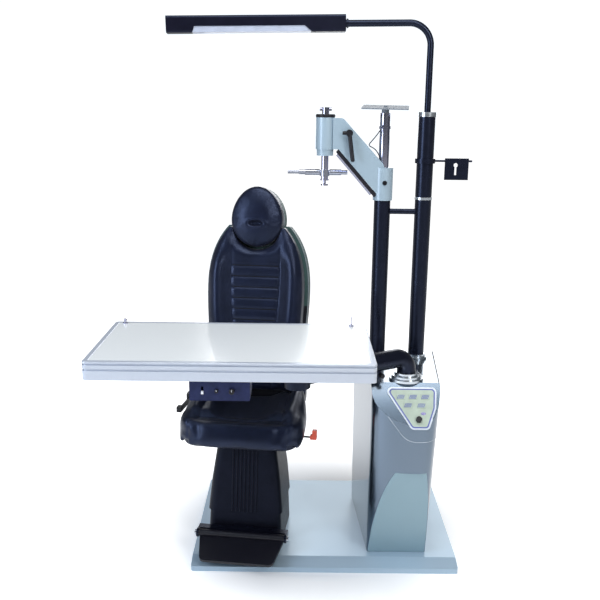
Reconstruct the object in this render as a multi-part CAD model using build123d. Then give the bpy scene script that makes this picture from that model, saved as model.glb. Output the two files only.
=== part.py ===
from build123d import *
import math
import os

# Ophthalmic refraction unit: a patient chair and an instrument console on one base plate.
# Millimetres. +X right, +Y to the rear, +Z up. Origin: centre of the base plate's underside.

os.makedirs("parts", exist_ok=True)

# ---------------------------------------------------------------- driving dimensions
BASE_W, BASE_D, BASE_T = 1012, 684, 34      # base plate
BASE_LIP = 20                               # height of its front edge, below the bevel
BASE_BEVEL = 59                             # run of the front bevel

DECK_Z = 718                                # top face of the console
CONSOLE_BACK = 190                          # rear face of the console, y
CONSOLE_NOSE = -320                         # foremost point of the console, y
WALL = 4                                    # console shell thickness
LEDGE_Z = 400                               # underside of the console's nose
TOE_FRONT = 7                               # step back from the nose to the toe cover
TOE_T = 3                                   # toe cover thickness
PANEL_Y, PANEL_Z = -228, 700                # top edge of the sloping keypad panel
PANEL_RUN, PANEL_DROP = 97, 114             # slope of the keypad panel
PANEL_T = 3                                 # keypad panel thickness
KEYS = ((-46, -34), (-1, -34), (44, -34), (-21, -67), (28, -67))    # key centres, u and v
KEY_W, KEY_H = 31, 20
DIAL = (16, -122)                           # dimmer dial on the panel, u and v
INLET_X, INLET_Z = (178, 222), (118, 148)   # opening of the power inlet in the rear panel

POST = (214, 96)                            # instrument column, x and y
LAMP = (374, 96)                            # lamp column, x and y
COLUMN_R, COLUMN_BORE_R = 32, 28
POST_TOP_Z = 1362                           # top of the instrument column
LAMP_RING_Z = 1371
LAMP_TOP_Z = 1693
PIPE_R = 12.5                               # lamp pole
POST_R = 19.5                               # chrome post above the instrument column
SOCKET = 70                                 # depth the chrome post is plugged in
LINK_Z = 1318                               # link bar between the columns
BUSH_Z = (1500, 1520)                       # lower bush of the lamp pole
POLE_TOP_Z = 2021                           # axis of the lamp pole's level leg
POLE_REACH = 321                            # from the pole's axis to the lamp head
POLE_BEND = 80                              # bend radius of the pole
LAMP_LEN, LAMP_H, LAMP_DEPTH = 656, 60, 66
SPIGOT_R = 8                                # spigot the lamp head rolls on
DIFFUSER = (126, 562, 22)                   # from, to along the head, and its height
FIT = 0.05                                  # radial clearance of a running fit
GAP = 0.3                                   # clearance between parts of two bodies

BOSS = (300, -168)                          # swing axis of the table arm, x and y
ARM_R = 35.5                                # table arm tube
ARM_Z = 805                                 # axis of the arm's level leg
ARM_BEND = 54                               # bend radius of the arm
BOSS_TOP_Z = 748                            # top of the boss the arm turns on
SPINDLE_R = 20                              # arm's spindle in the boss
PIVOT_R, PIVOT_BORE_R = 46, 18              # table pivot housing and its shaft
PIVOT_TOP_Z = 848
PIVOT = (-110, -405)                        # turning axis of the table, x and y

TABLE_X, TABLE_Y = (-796, 144), (-616, -132)
TABLE_Z = (858, 920)
TABLE_CORNER_R = 14
STUD, LOCK_PIN = (-754, -162), (88, -166)   # rear corner fittings of the table, x and y
RECESS = 2                                  # depth of the round recesses they stand in
RIM_W = 18                                  # width of the table's rim
BOARD_Z = 896                               # underside of the table's board
BOX_X, BOX_Y, BOX_Z = (-456, -261), (-606, -500), (790, 858)    # control box under the table
CONTROLS = {"slider": -414, "small": -368, "large": -319}       # x of each control
CONTROL_Z = 824

CHAIR = Location((-289, 0, 0), (0, 0, -7))  # the chair stands turned 7 degrees
SEAT_Z = 486                                # underside of the seat pan
LIFT_TOP_Z = 476                            # top of the lift's swivel plate
RECLINE = (95, 560)                         # hinge of the backrest in the chair frame, y and z
BACK_LEAN = 8                               # degrees the backrest leans back
FOOT_HINGE = (-255, 100)                    # hinge of the footrest in the chair frame, y and z
FOOT_BAR_Z = (86, 112)                      # cross bar behind the footrest's hinge
FOOT_TONGUE = 40                            # half width of the tongue that carries the cross bar
PAN_X, PAN_FRONT = 214, -314                # seat pan: half width and front edge
LIP_Z, SEAT_TOP = 492, 575                  # lower edge and top of the seat cushion
EAR_X = 190                                 # inner face of the backrest's hinge ears
HINGE_PIN_R = 8                             # pins of the backrest's hinge
LEVER_TIP = (-183, 578)                     # grip of the recline lever in the chair frame, y and z
SWIVEL = (150, -150, 480)                   # pivot of the swivel lever in the chair frame
LIFT_HALF = 46.7                            # half width of the inner lift column
LIFT_CLEAR = 47                             # half width inside the fixed lift column
BACK_TOP_H = 702                            # top of the backrest, up its own plane
HEAD_H, HEAD_R = 722, 100                   # headrest's lower arc: centre up the backrest, radius
HEAD_GAP = 4                                # between the headrest and the hollow it slides out of
HEAD_POST_X, HEAD_POST_R = 45, 6            # headrest posts
POST_DEPTH = 98                             # headrest posts' axis behind the backrest's face

SHAFT = (-14, 96)                           # vertical shaft of the phoropter arm, x and y
SHAFT_R = 14
ROD_Z = 1465                                # instrument rod
HOLDER_Z = 1515                             # chart holder
ARM_FRONT, ARM_BACK = 66, 126               # side faces of the arm casting, y
EDGE_START, EDGE_END = Vector(37, 0, 1557), Vector(192, 0, 1382)    # under-edge of the arm
CLAMP = (76, 1618)                          # clamp lever, x and z
CABLE_R = 2
CABLE_ROUTE = [
    (200, 72, 1638), (187, 71, 1618), (173, 71, 1600), (161, 71, 1586), (153.5, 72, 1577),
    (154.5, 73, 1571), (160, 74, 1567.2), (171, 75, 1562.5), (184, 76, 1551), (193, 77, 1536),
    (199, 78, 1519), (201, 78, 1508)]


# ---------------------------------------------------------------- helpers
def block(x, y, z):
    """A box from its x, y and z ranges."""
    centre = ((x[0] + x[1]) / 2, (y[0] + y[1]) / 2, (z[0] + z[1]) / 2)
    return Pos(*centre) * Box(x[1] - x[0], y[1] - y[0], z[1] - z[0])


def drum(at, z, radius, bore=0):
    """An upright cylinder or ring centred on at, from its z range."""
    middle = Pos(at[0], at[1], (z[0] + z[1]) / 2)
    body = middle * Cylinder(radius, z[1] - z[0])
    if bore:
        body -= middle * Cylinder(bore, z[1] - z[0] + 1)
    return body


def bar(start, end, radius):
    """A round bar between two points."""
    a, b = Vector(*start), Vector(*end)
    plane = Plane(origin=a, z_dir=b - a)
    return plane * Cylinder(radius, (b - a).length, align=(Align.CENTER, Align.CENTER, Align.MIN))


def slab(x, y, z, corner):
    """A plate with rounded upright corners."""
    centre = Plane(origin=((x[0] + x[1]) / 2, (y[0] + y[1]) / 2, z[0]))
    return extrude(centre * RectangleRounded(x[1] - x[0], y[1] - y[0], corner), z[1] - z[0])


def group(*solids):
    """Separate solids kept together in one node."""
    return Compound(children=list(solids))


def save(name, shape):
    export_step(shape, f"parts/{name}.step")


# ---------------------------------------------------------------- base plate
def base_plate():
    half = BASE_D / 2
    profile = Plane.YZ * make_face(Polyline(
        (-half, 0), (-half, BASE_LIP), (-half + BASE_BEVEL, BASE_T),
        (half, BASE_T), (half, 0), close=True))
    plate = extrude(profile, BASE_W / 2, both=True)
    return fillet(plate.edges().filter_by(Axis.Z), 10)


# ---------------------------------------------------------------- console
def console_outline(z, inset):
    """Plan of the console at height z: straight sides that close in to a rounded nose."""
    t = (z - BASE_T) / (DECK_Z - BASE_T)
    left_back = (135 - 6 * t + inset, CONSOLE_BACK - inset)
    right_back = (450 + 13 * t - inset, CONSOLE_BACK - inset)
    left_front = (166 + inset, -235)
    right_front = (394 + 27 * t - inset, -235)
    nose = CONSOLE_NOSE + inset
    reach = (nose - right_front[1]) / (right_front[1] - right_back[1])
    right_corner = (right_front[0] + (right_front[0] - right_back[0]) * reach, nose)
    left_corner = (171 + inset, -290 + inset)
    nose_left, nose_right = (325, nose), (336 + 8 * t, nose)
    with BuildSketch(Plane.XY.offset(z)) as plan:
        with BuildLine():
            Line(left_back, right_back)
            Line(right_back, right_front)
            Bezier(right_front, right_corner, nose_right)
            Line(nose_right, nose_left)
            Bezier(nose_left, (255, nose), left_corner, left_front)
            Line(left_front, left_back)
        make_face()
    return plan.sketch


def console_prism(inset, floor, top):
    sections = [console_outline(floor, inset), console_outline(top, inset)]
    return loft(sections, ruled=True)


def keypad_plane(depth=0.0):
    """Plane of the sloping keypad panel, depth below its surface."""
    normal = Vector(0, -PANEL_DROP, PANEL_RUN).normalized()
    return Plane(origin=Vector(318, PANEL_Y, PANEL_Z) - normal * depth, x_dir=(1, 0, 0), z_dir=normal)


def toe_plane(depth=0.0):
    """Plane of the sloping toe cover, depth behind its face."""
    rise = LEDGE_Z - BASE_T
    run = CONSOLE_NOSE + TOE_FRONT + 250
    normal = Vector(0, -rise, run).normalized()
    return Plane(origin=Vector(290, -250, BASE_T) - normal * depth, x_dir=(1, 0, 0), z_dir=normal)


def in_front_of(plane, thickness=300):
    return plane * Box(1200, 1200, thickness, align=(Align.CENTER, Align.CENTER, Align.MIN))


def console_solid(inset, floor, top, toe_depth):
    """The console's outer or inner form, cut by the keypad slope and by the toe."""
    solid = console_prism(inset, floor, top)
    if inset == 0:
        solid = fillet(solid.edges().group_by(Axis.Z)[-1], 10)
    solid -= in_front_of(keypad_plane(inset))
    under_nose = block((0, 600), (-600, 400), (0, LEDGE_Z + inset))
    return solid - (in_front_of(toe_plane(toe_depth)) & under_nose)


def seam_region():
    """Everything above the line where the top cover meets the console body."""
    curve = FilletPolyline((60, 824.5), (294, 525), (520, 525), radius=75)
    outline = curve + Polyline((520, 525), (520, 900), (60, 900), (60, 824.5))
    return Pos(0, 300, 0) * extrude(Plane.XZ * make_face(outline), 700)


def column_holes():
    holes = drum(POST, (600, 760), COLUMN_R)
    holes += drum(LAMP, (600, 760), COLUMN_R)
    holes += drum(BOSS, (600, 760), 30)
    return holes


def console():
    shell = console_solid(0, BASE_T, DECK_Z, TOE_T)
    shell -= console_solid(WALL, BASE_T - 1, DECK_Z - WALL, TOE_T + WALL)
    shell -= column_holes()
    shell -= block((172, 418), (180, 200), (100, 630))
    cover = shell & seam_region()
    body = shell - seam_region()
    save("console_body", body)
    save("console_cover", cover)


def toe_cover():
    reveal = 1.5
    slab_in_front = in_front_of(toe_plane(TOE_T), TOE_T)
    limits = block((0, 600), (-600, 400), (BASE_T + 1, LEDGE_Z - 1))
    return console_prism(reveal, BASE_T, DECK_Z) & slab_in_front & limits


def rear_panel():
    y0 = CONSOLE_BACK
    panel = block((165, 425), (y0, y0 + 3), (80, 650))
    louvre = block((215, 375), (y0 - 1, y0 + 4), (0, 6))
    for step in range(10):
        panel -= Pos(0, 0, 440 + 18 * step) * louvre
    panel -= block(INLET_X, (y0 - 1, y0 + 4), INLET_Z)
    return panel


def power_inlet():
    """An appliance inlet: flange, cup and three blades."""
    y0 = CONSOLE_BACK + 3
    inlet = block((172, 228), (y0, y0 + 3), (112, 154))
    inlet += block(INLET_X, (y0 - 24, y0), INLET_Z)
    inlet -= block((182, 218), (y0 - 18, y0 + 4), (122, 144))
    blades = [block((x - 1, x + 1), (y0 - 18, y0 - 6), (130, 136)) for x in (190, 200, 210)]
    return group(inlet, *blades)


def on_panel(u, v, shape):
    """A shape placed on the keypad panel: u to the right, v up the slope."""
    return keypad_plane() * Pos(u, v, 0) * shape


def panel_outline():
    """Rounded triangle of the keypad panel, wide at the top."""
    shape = Polygon((-108, 4), (-12, -159), (52, -159), (82, -78), (89, 4), align=None)
    return fillet(shape.vertices(), 18)


def keypad_panel():
    panel = extrude(panel_outline(), PANEL_T, dir=(0, 0, 1))
    for u, v in KEYS:
        panel -= Pos(u, v, PANEL_T / 2) * Box(KEY_W + 0.8, KEY_H + 0.8, PANEL_T + 1)
    panel -= Pos(*DIAL, 2) * Cylinder(3.3, 8)
    return keypad_plane() * panel


def keypad_key(u, v):
    """Key cap, 1.6 proud, with room below it for its 1 mm stroke."""
    cap = Pos(u, v, 2.9) * Box(KEY_W, KEY_H, 3.4)
    return keypad_plane() * fillet(cap.edges().group_by(Axis.Z)[-1], 0.8)


def dimmer_knob():
    knob = Pos(*DIAL, 9.4) * Cylinder(11, 12)
    knob = chamfer(knob.edges().group_by(Axis.Z)[-1], 1.5)
    for turn in range(12):
        knob -= Pos(*DIAL, 9.4) * Rot(0, 0, 30 * turn) * Pos(11.6, 0, 0) * Cylinder(1.4, 14)
    knob += Pos(*DIAL, 2.2) * Cylinder(3.2, 4)
    return keypad_plane() * knob


# ---------------------------------------------------------------- columns and lamp
def column_rings():
    """Stepped foot rings of both columns, the lamp column's joint ring and its cap."""
    foot = [drum(at, (DECK_Z, DECK_Z + 9), 44, COLUMN_R) + drum(at, (DECK_Z + 9, DECK_Z + 20), 38, COLUMN_R)
            for at in (POST, LAMP)]
    joint = drum(LAMP, (LAMP_RING_Z - 5, LAMP_RING_Z + 5), 34, COLUMN_R)
    cap = drum(LAMP, (LAMP_TOP_Z - 12, LAMP_TOP_Z), 34, COLUMN_R)
    cap += drum(LAMP, (LAMP_TOP_Z, LAMP_TOP_Z + 5), 34, PIPE_R + FIT)
    return group(*foot, joint, cap)


def instrument_column():
    """Tube from the base plate, with the plug that holds the chrome post."""
    tube = drum(POST, (BASE_T, POST_TOP_Z), COLUMN_R, COLUMN_BORE_R)
    return tube + drum(POST, (POST_TOP_Z - SOCKET, POST_TOP_Z), COLUMN_BORE_R, POST_R)


def lamp_column():
    """Tube from the base plate, with two bushes for the lamp pole."""
    tube = drum(LAMP, (BASE_T, LAMP_TOP_Z), COLUMN_R, COLUMN_BORE_R)
    tube += drum(LAMP, BUSH_Z, COLUMN_BORE_R, PIPE_R + FIT)
    return tube + drum(LAMP, (BUSH_Z[0] - 6, BUSH_Z[0]), COLUMN_BORE_R, 6)


def link_bar():
    link = bar((*POST, LINK_Z), (*LAMP, LINK_Z), 11)
    span = (LINK_Z - 20, LINK_Z + 20)
    return link - drum(POST, span, COLUMN_R) - drum(LAMP, span, COLUMN_R)


def projector_post():
    return drum(POST, (POST_TOP_Z - SOCKET, LAMP_TOP_Z), POST_R)


def lamp_axes():
    """Where the pole turns, the direction of its level leg, and the head's first end."""
    turn = Vector(LAMP[0] - 2, LAMP[1], POLE_TOP_Z)
    along = Vector(-977, -56, -24).normalized()
    return turn, along, turn + along * POLE_REACH


def lamp_pole():
    turn, along, head = lamp_axes()
    foot = (*LAMP, BUSH_Z[0] + 0.5)
    path = FilletPolyline(foot, (*LAMP, turn.Z), head, radius=POLE_BEND)
    pole = sweep(Plane(origin=path @ 0, z_dir=path % 0) * Circle(PIPE_R), path)
    end = Plane(origin=head, z_dir=along)
    return pole + end * Pos(0, 0, -8) * Cylinder(17, 6) + end * Pos(0, 0, 10) * Cylinder(SPIGOT_R, 28)


def lamp_plane():
    """Frame at the head's near end: x along the head, y up."""
    turn, along, head = lamp_axes()
    up = Vector(0, 0, 1) - along * along.Z
    return Plane(origin=head, x_dir=along, z_dir=along.cross(up.normalized()))


def lamp_section(low):
    """Side view of the head, or of the notch for the diffuser."""
    half = LAMP_H / 2
    if low:
        x0, x1, height = DIFFUSER
        return Polyline((x0, -half), (x0 + 26, height - half), (x1 - 8, height - half), (x1, -half), close=True)
    return Polyline((GAP, -half), (LAMP_LEN, -half), (LAMP_LEN, half), (GAP, half), close=True)


def lamp_head():
    """Housing with a socket for the pole."""
    frame = lamp_plane()
    body = extrude(make_face(lamp_section(False)), LAMP_DEPTH / 2, both=True)
    body = fillet(body.edges().filter_by(Axis.X), 9)
    body -= extrude(make_face(lamp_section(True)), LAMP_DEPTH, both=True)
    body -= Pos(12, 0, 0) * Rot(0, 90, 0) * Cylinder(SPIGOT_R + FIT, 26)
    return frame * body


def lamp_diffuser():
    inside = extrude(make_face(lamp_section(True)), LAMP_DEPTH / 2 - 2, both=True)
    return lamp_plane() * (inside & Pos(330, 1.5, 0) * Box(LAMP_LEN, LAMP_H, LAMP_DEPTH))


def chart_holder():
    """Collar on the lamp column, rod and slotted plate."""
    x, y = LAMP
    collar = drum(LAMP, (HOLDER_Z - 9, HOLDER_Z + 9), 39, COLUMN_R + FIT)
    arm = bar((x + 36, y, HOLDER_Z), (556, y, HOLDER_Z), 4)
    plate = block((450, 542), (y - 9, y - 3.5), (1443, 1526))
    slot = block((488, 496), (y - 12, y), (1462, 1500)) + Pos(492, y - 6, 1500) * Rot(90, 0, 0) * Cylinder(8, 12)
    return collar + arm + plate - slot


# ---------------------------------------------------------------- table and its arm
def table_arm():
    """Elbow tube with its spindle, from the console boss to the table pivot."""
    x, y = BOSS
    foot = BOSS_TOP_Z + GAP
    path = FilletPolyline((x, y, foot), (x, y, ARM_Z), (*PIVOT, ARM_Z), radius=ARM_BEND)
    tube = sweep(Plane.XY.offset(foot) * Pos(x, y) * Circle(ARM_R), path)
    tube += drum(BOSS, (650, foot + 2), SPINDLE_R)
    at, side = brake_place()
    tube += drum((at.X, at.Y), (at.Z - 13, ARM_Z - 20), 14)
    tube -= bar(at, at + side * 20, 3.5 + FIT)
    return tube - drum(PIVOT, (700, 900), PIVOT_R)


def arm_boss():
    """Stepped rings on the deck and the bearing sleeve below it."""
    boss = drum(BOSS, (DECK_Z, DECK_Z + 9), 64)
    boss += drum(BOSS, (DECK_Z + 9, DECK_Z + 19), 56)
    boss += drum(BOSS, (DECK_Z + 19, BOSS_TOP_Z), 45)
    boss += drum(BOSS, (660, DECK_Z), 30)
    return boss - drum(BOSS, (600, 800), SPINDLE_R + FIT)


def pivot_housing():
    return drum(PIVOT, (768, PIVOT_TOP_Z), PIVOT_R, PIVOT_BORE_R + FIT)


def brake_place():
    """Centre of the brake boss under the level leg, and the screw's outward direction."""
    along = Vector(PIVOT[0] - BOSS[0], PIVOT[1] - BOSS[1], 0).normalized()
    side = Vector(0, 0, 1).cross(along)
    return Vector(BOSS[0], BOSS[1], ARM_Z - 48) + along * 130, side


def brake_knob():
    """Clamp screw of the arm with its round knob, square to the level leg."""
    at, side = brake_place()
    start = at + side * (14 + GAP)
    return bar(start, start + side * 16, 9) + bar(at + side * 2, start + side, 3.5)


def table_edge():
    """Extruded rim with two grooves round the four sides."""
    x, y = TABLE_X, TABLE_Y
    rim = slab(x, y, TABLE_Z, TABLE_CORNER_R)
    within = (x[0] + RIM_W, x[1] - RIM_W), (y[0] + RIM_W, y[1] - RIM_W)
    rim -= slab(*within, (TABLE_Z[0] - 1, TABLE_Z[1] + 1), 4)
    rim = fillet(rim.edges().group_by(Axis.Z)[-1].sort_by(SortBy.LENGTH)[-4:], 3)
    for low, high in ((889, 896), (908, 914)):
        cutter = slab((x[0] - 5, x[1] + 5), (y[0] - 5, y[1] + 5), (low, high), TABLE_CORNER_R)
        cutter -= slab((x[0] + 5, x[1] - 5), (y[0] + 5, y[1] - 5), (low, high), TABLE_CORNER_R - 5)
        rim -= cutter
    return rim


def table_panel():
    x, y = TABLE_X, TABLE_Y
    within = (x[0] + RIM_W, x[1] - RIM_W), (y[0] + RIM_W, y[1] - RIM_W)
    board = slab(*within, (BOARD_Z, TABLE_Z[1]), 4)
    for at in (LOCK_PIN, STUD):
        board -= drum(at, (TABLE_Z[1] - RECESS, TABLE_Z[1] + 1), 9.5)
    return board - drum(LOCK_PIN, (880, 940), 4 + FIT)


def table_pivot_plate():
    """Mounting plate under the table, its upright ribs and the pivot shaft."""
    x, y = PIVOT
    low = TABLE_Z[0]
    plate = block((x - 90, x + 90), (y - 75, y + 75), (PIVOT_TOP_Z + GAP, low))
    for side in (-70, 70):
        plate += block((x - 90, x + 90), (y + side - 4, y + side + 4), (low, BOARD_Z))
    return plate + drum(PIVOT, (770, PIVOT_TOP_Z + 2), PIVOT_BORE_R)


def table_stud():
    """Arched stud near the table's left rear corner."""
    z = TABLE_Z[1]
    stud = drum(STUD, (z - RECESS, z + 4), 9)
    stud += drum(STUD, (z + 4, z + 14), 4)
    return stud + Pos(*STUD, z + 14) * Sphere(6)


def table_lock_pin():
    """Sprung pin with a knob near the right rear corner, drawn up to free the table."""
    at, z = LOCK_PIN, TABLE_Z[1]
    pin = drum(at, (TABLE_Z[1] - 20, z + 10), 4)
    pin += drum(at, (z - RECESS + GAP, z + 9), 9)
    return pin + drum(at, (z + 9, z + 38), 1.6)


def control_box():
    """Switch box under the table's front edge."""
    box = block(BOX_X, BOX_Y, BOX_Z)
    box = fillet(box.edges().filter_by(Axis.Y), 4)
    box -= block((BOX_X[0] + 3, BOX_X[1] - 3), (BOX_Y[0] + 3, BOX_Y[1] - 3), (BOX_Z[0] + 3, BOX_Z[1] + 1))
    for x in (CONTROLS["small"], CONTROLS["large"]):
        box -= Pos(x, BOX_Y[0], CONTROL_Z) * Rot(90, 0, 0) * Cylinder(3 + FIT, 12)
    return box - block((-418, -410), (BOX_Y[0] - 1, BOX_Y[0] + 4), (CONTROL_Z - 14, CONTROL_Z + 14))


def power_slider():
    """Thumb of the slide switch in its upright slot."""
    x, y = CONTROLS["slider"], BOX_Y[0]
    return block((x - 3.7, x + 3.7), (y - 4, y + 6), (CONTROL_Z - 11, CONTROL_Z - 2))


def front_knob(x, radius, length):
    """Knob on a spindle through the box's front."""
    y = BOX_Y[0] - GAP
    knob = bar((x, y, CONTROL_Z), (x, y - length, CONTROL_Z), radius)
    knob = chamfer(knob.edges().group_by(Axis.Y)[0], 1.2)
    return knob + bar((x, y - 1, CONTROL_Z), (x, y + 9, CONTROL_Z), 3)


# ---------------------------------------------------------------- chair, in its own frame
def skirt_section(z, half_width, front, back, corner):
    plane = Plane(origin=(0, (back + front) / 2, z))
    return plane * RectangleRounded(2 * half_width, back - front, corner)


def skirt(sections, thickness, corner, back):
    """Tapering open-bottomed shell through (z, half width, front) sections."""
    outer = loft([skirt_section(z, w, f, back, corner) for z, w, f in sections], ruled=True)
    inner = [skirt_section(z, w - thickness, f + thickness, back - thickness, corner - thickness)
             for z, w, f in sections]
    return outer, loft(inner, ruled=True)


def chair_plinth():
    """Floor flange with the fixed lift column, and the cross bar with the two footrest ears."""
    floor = BASE_T + 8
    plinth = slab((-130, 130), (-195, 66), (BASE_T, floor), 20)
    plinth += block((-52, 52), (-52, 52), (floor, 330))
    plinth -= block((-LIFT_CLEAR, LIFT_CLEAR), (-LIFT_CLEAR, LIFT_CLEAR), (floor, 340))
    low, high = FOOT_BAR_Z
    plinth += block((-FOOT_TONGUE, FOOT_TONGUE), (-190, -150), (floor, high))
    plinth += block((-FOOT_TONGUE, FOOT_TONGUE), (-214, -150), (low, high))
    plinth += block((-176, 176), (-238, -209), (low, high))
    y, z = FOOT_HINGE
    for x in (-176, 168):
        ear = block((x, x + 8), (y, y + 20), (low, high)) + bar((x, y, z), (x + 8, y, z), 17)
        plinth += ear - bar((x - 1, y, z), (x + 9, y, z), 7 + FIT)
    return plinth


def lower_skirt():
    """Fixed shroud of the lift, with a window for the footrest's cross bar."""
    outer, inner = skirt([(BASE_T, 146, -209), (165, 141, -195), (400, 104, -160)], 3, 30, 71)
    low, high = FOOT_BAR_Z
    side = FOOT_TONGUE + 1
    return outer - inner - block((-side, side), (-230, -185), (low - 1, high + 1))


def upper_skirt():
    """Moving shroud, with a closed top round the lift column and upright ribs in front."""
    levels = [(165, 147, -200), (285, 136, -183), (463, 111, -157)]
    outer, inner = skirt(levels, 3, 34, 75)
    shroud = outer - inner
    top = extrude(skirt_section(463, 111, -157, 75, 34), 5)
    shroud += top - block((-LIFT_HALF, LIFT_HALF), (-LIFT_HALF, LIFT_HALF), (460, 470))
    for step in range(-3, 4):
        x = 15.5 * step
        shroud += bar((x, -199.5, 170), (x, -183, 284), 4) + bar((x, -183, 284), (x, -158.5, 455), 4)
    return shroud - inner


def lift_column():
    """Inner lift column with the swivel plate."""
    tube = block((-LIFT_HALF, LIFT_HALF), (-LIFT_HALF, LIFT_HALF), (180, 468))
    tube -= block((-41, 41), (-41, 41), (179, 460))
    tube += drum((0, 0), (468, LIFT_TOP_Z), 105)
    return tube - drum((0, 0), (455, 480), 12)


def lift_motor():
    """Gear motor beside the lift column."""
    at = (0, -105)
    motor = drum(at, (BASE_T + 8, 60), 40)
    motor += drum(at, (60, 190), 34)
    return motor + drum(at, (190, 205), 20)


def seat_pan():
    """Shallow tray under the cushions."""
    pan = slab((-PAN_X, PAN_X), (PAN_FRONT, 72), (SEAT_Z, SEAT_Z + 26), 60)
    return fillet(pan.edges().group_by(Axis.Z)[0], 10)


def seat_frame():
    """Seat pan with turntable disc, hinge ears, pins and the lever's lug."""
    pan = seat_pan()
    pan += drum((0, 0), (LIFT_TOP_Z + GAP, SEAT_Z), 98)
    pan += drum((0, 0), (462, LIFT_TOP_Z + GAP), 12 - FIT)
    y, z = RECLINE
    for side in (-1, 1):
        inner, outer = sorted((side * EAR_X, side * (EAR_X + 10)))
        ear = block((inner, outer), (40, y + 22), (SEAT_Z + 4, z))
        ear += bar((inner, y, z), (outer, y, z), 22)
        pan += ear + bar((side * (EAR_X + 10), y, z), (side * (EAR_X + 15), y, z), 26)
        pan += bar((side * (EAR_X - 16), y, z), (side * EAR_X, y, z), HINGE_PIN_R)
    pan += bar((-EAR_X - 15, y, z), (-250, y, z), HINGE_PIN_R) + bar((-250, y, z), (-254, y, z), 12)
    x, y, z = SWIVEL
    pan += block((x - 8, x + 8), (y + 10, y + 22), (z - 8, SEAT_Z + 2))
    return pan + bar((x, y + 10, z), (x, y - 8, z), 3)


def swivel_lever():
    """Swivel lock: barrel on the lug's pin, rod and boot-shaped knob."""
    x, y, z = SWIVEL
    lever = bar((x, y + 8, z), (x, y - 7, z), 5.5)
    lever += bar((x, y, z), (x + 106, y, z), 3.6)
    knob = block((x + 100, x + 126), (y - 8, y + 8), (z - 8, z + 10))
    knob += block((x + 108, x + 126), (y - 8, y + 8), (z + 10, z + 30))
    knob = fillet(knob.edges().filter_by(Axis.Y), 3.5)
    return lever + knob - bar((x, y + 20, z), (x, y - 20, z), 3 + FIT)


def recline_lever():
    """Paddle on the left hinge pin."""
    y, z = RECLINE
    tip_y, tip_z = LEVER_TIP
    lever = bar((-236.5, y, z), (-249.5, y, z), 17)
    middle = Pos(-246, (y + tip_y) / 2, (z + tip_z) / 2 + 2)
    tilt = math.degrees(math.atan2(tip_z - z, y - tip_y))
    lever += middle * Rot(-tilt, 0, 0) * Box(7, y - tip_y, 20)
    lever += block((-262, -244), (tip_y - 14, tip_y + 14), (tip_z - 9, tip_z + 11))
    lever += block((-258, -244), (-66, -34), (z + 8, z + 36))
    return lever - bar((-230, y, z), (-252, y, z), HINGE_PIN_R + FIT)


def seat_cushion():
    """Middle pad, its front roll drawn down over the edge of the pan."""
    pad = slab((-150, 150), (-332, 44), (LIP_Z, SEAT_TOP), 30)
    pad = fillet(pad.edges().group_by(Axis.Z)[-1], 18)
    return pad - block((-160, 160), (PAN_FRONT, 50), (LIP_Z - 1, SEAT_Z + 26))


def seat_bolsters():
    """Side pads that rise toward the back and wrap the pan's edge."""
    plan = Spline((152, -326), (192, -318), (224, -285), (231, -200), (225, -110), (212, -28))
    outline = make_face(plan + Polyline((212, -28), (152, -28), (152, -326)))
    pad = extrude(Pos(0, 0, LIP_Z) * outline, 160)
    side_view = Spline((-340, 558), (-300, 574), (-200, 598), (-100, 622), (-20, 636))
    above = make_face(Plane.YZ * (side_view + Polyline((-20, 636), (-20, 700), (-340, 700), (-340, 558))))
    pad -= extrude(above, 300, both=True)
    pad -= block((0, PAN_X), (PAN_FRONT, 50), (LIP_Z - 1, SEAT_Z + 26))
    crown = pad.edges().filter_by(lambda e: e.center().Z > 556 and e.center().X > 190)
    pad = fillet(crown, 22)
    return group(mirror(pad, about=Plane.YZ), pad)


def back_plane(depth=0.0):
    """Front face of the backrest: x across, y up along it, z toward the sitter."""
    lean = math.radians(BACK_LEAN)
    normal = Vector(0, -math.cos(lean), math.sin(lean))
    return Plane(origin=Vector(0, -7, 560) - normal * depth, x_dir=(1, 0, 0), z_dir=normal)


def back_outline(low, grow=0.0):
    """Bullet-shaped outline of the backrest with a hollow for the headrest."""
    side = [(168, low), (189, 200), (203, 400), (202, 490), (184, 590), (152, 660), (120, BACK_TOP_H)]
    right = [(x + grow, h) for x, h in side]
    left = [(-x, h) for x, h in reversed(right)]
    curves = Spline(*right) + Line(right[-1], left[0]) + Spline(*left) + Line(left[-1], right[0])
    face = make_face(curves)
    return face - Pos(0, HEAD_H) * Circle(HEAD_R + HEAD_GAP)


def head_outline(grow=0.0):
    """Egg-shaped outline of the headrest."""
    r = HEAD_R + grow
    top = HEAD_H + 132 + grow
    lower = ThreePointArc((-r, HEAD_H), (0, HEAD_H - r), (r, HEAD_H))
    right = Bezier((r, HEAD_H), (r, HEAD_H + 70), (52, top), (0, top))
    left = Bezier((0, top), (-52, top), (-r, HEAD_H + 70), (-r, HEAD_H))
    return make_face(lower + right + left)


def back_cushion():
    """Full pad with a raised bolster down each side."""
    pad = extrude(back_plane(60) * back_outline(34), 60)
    for side in (-1, 1):
        x = sorted((side * 112, side * 192))
        bolster = slab(x, (110, 540), (-10, 18), 30)
        pad += back_plane() * bolster
    return pad


def back_shell():
    """Moulded rear shell with hinge lugs and bores for the headrest posts."""
    shell = extrude(back_plane(60.5) * back_outline(-14, 2), -74)
    far = shell.faces().sort_by(Axis.Y)[-1]
    shell = fillet(far.edges(), 8)
    y, z = RECLINE
    for side in (-1, 1):
        a, b = sorted((side * 150, side * (EAR_X - GAP)))
        lug = block((a, b), (y - 20, y + 20), (z - 6, z + 40)) + bar((a, y, z), (b, y, z), 20)
        shell += lug - bar((side * (EAR_X - 16.5), y, z), (side * (EAR_X + 3), y, z), HINGE_PIN_R + FIT)
    for x in (-HEAD_POST_X, HEAD_POST_X):
        bore = Cylinder(HEAD_POST_R + FIT, 160)
        shell -= back_plane(POST_DEPTH) * Pos(x, 590, 0) * Rot(90, 0, 0) * bore
    return shell


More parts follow.
